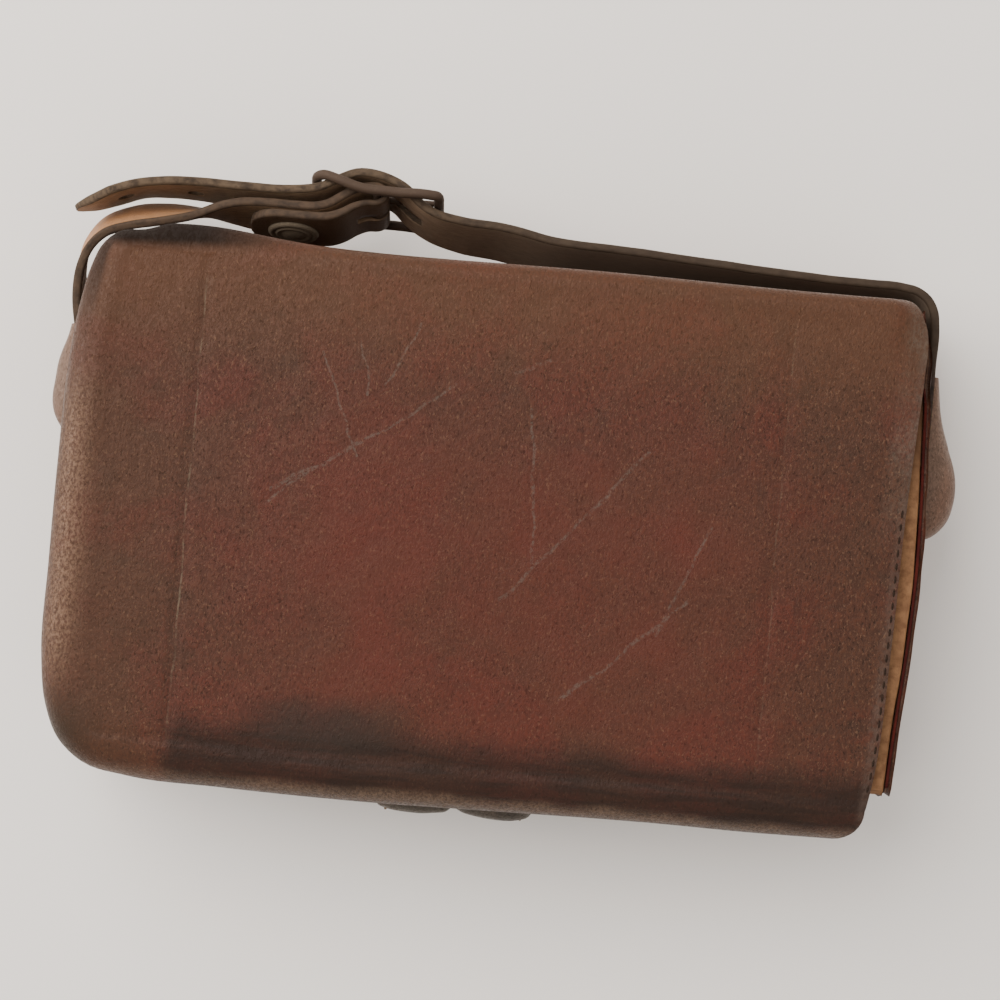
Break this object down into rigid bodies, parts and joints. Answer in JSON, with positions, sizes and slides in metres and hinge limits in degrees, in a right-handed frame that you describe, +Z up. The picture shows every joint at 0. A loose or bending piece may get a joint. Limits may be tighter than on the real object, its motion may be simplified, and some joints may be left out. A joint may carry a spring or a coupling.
{
  "type": "leather camera case",
  "caption": "Stiff oblong leather case with a moulded fold-over lid, a press-stud closing tab and a buckled carrying strap held in moulded covers on its ends.",
  "frame": {"origin": "centre of the flat base that the case lies on", "axes": "+Z up through the lid, +X along the length with the left end at -X, +Y towards the side where the lid folds and the strap is buckled"},
  "size_m": [0.224, 0.1552, 0.058],
  "materials": {
    "body_leather": "aged brown hide, fine grain, satin",
    "cover_leather": "aged brown moulded hide, rubbed grey at the crown",
    "core_leather": "raw tan core leather with a rough cut edge",
    "lining": "short dark red plush",
    "lid_leather": "red brown pebbled hide, worn, with scratches",
    "tab_leather": "dark olive brown hide, worn smooth",
    "strap_leather": "dull strap hide with grey brown cut edges and tan flesh side",
    "rivet_metal": "dark tarnish",
    "snap_metal": "dark tarnish",
    "buckle_metal": "worn wire with brown rust bloom"
  },
  "bodies": {
    "case": {"body_wrap": "body_leather", "left_end_outer": "body_leather", "right_end_outer": "body_leather", "left_end_inner": "core_leather", "right_end_inner": "core_leather", "base_lining": "lining", "front_lining": "lining", "rear_lining": "lining", "left_lining": "lining", "right_lining": "lining", "left_strap_cover": "cover_leather", "right_strap_cover": "cover_leather", "strap_rivets": "rivet_metal", "strap_washers": "rivet_metal", "strap_billet": "strap_leather", "strap_chape": "strap_leather", "chape_stud": "rivet_metal", "snap_post": "snap_metal", "snap_post_washer": "snap_metal"},
    "lid": {"lid_panel": "lid_leather", "lid_lining": "lining"},
    "tab": {"closing_tab": "tab_leather", "snap_cap": "snap_metal", "snap_socket": "snap_metal"},
    "buckle": {"buckle_frame": "buckle_metal"},
    "prong": {"buckle_prong": "buckle_metal"}
  },
  "joints": [
    {"name": "lid_hinge", "type": "hinge", "parent": "case", "child": "lid", "pos_m": [0, 0.06, 0.05485], "axis": [-1, 0, 0], "range_deg": [0, 175]},
    {"name": "tab_swing", "type": "hinge", "parent": "lid", "child": "tab", "pos_m": [-0.004, -0.0695, 0.0446], "axis": [-1, 0, 0], "range_deg": [-10, 100], "stiffness_Nm_per_rad": 0.01},
    {"name": "buckle_tilt", "type": "hinge", "parent": "case", "child": "buckle", "pos_m": [-0.036, 0.0735, 0.028], "axis": [0, 0.2588, 0.9659], "range_deg": [-2, 2], "stiffness_Nm_per_rad": 0.02},
    {"name": "prong_swing", "type": "hinge", "parent": "buckle", "child": "prong", "pos_m": [-0.036, 0.0735, 0.028], "axis": [0, 0.2588, 0.9659], "range_deg": [0, 35]}
  ]
}
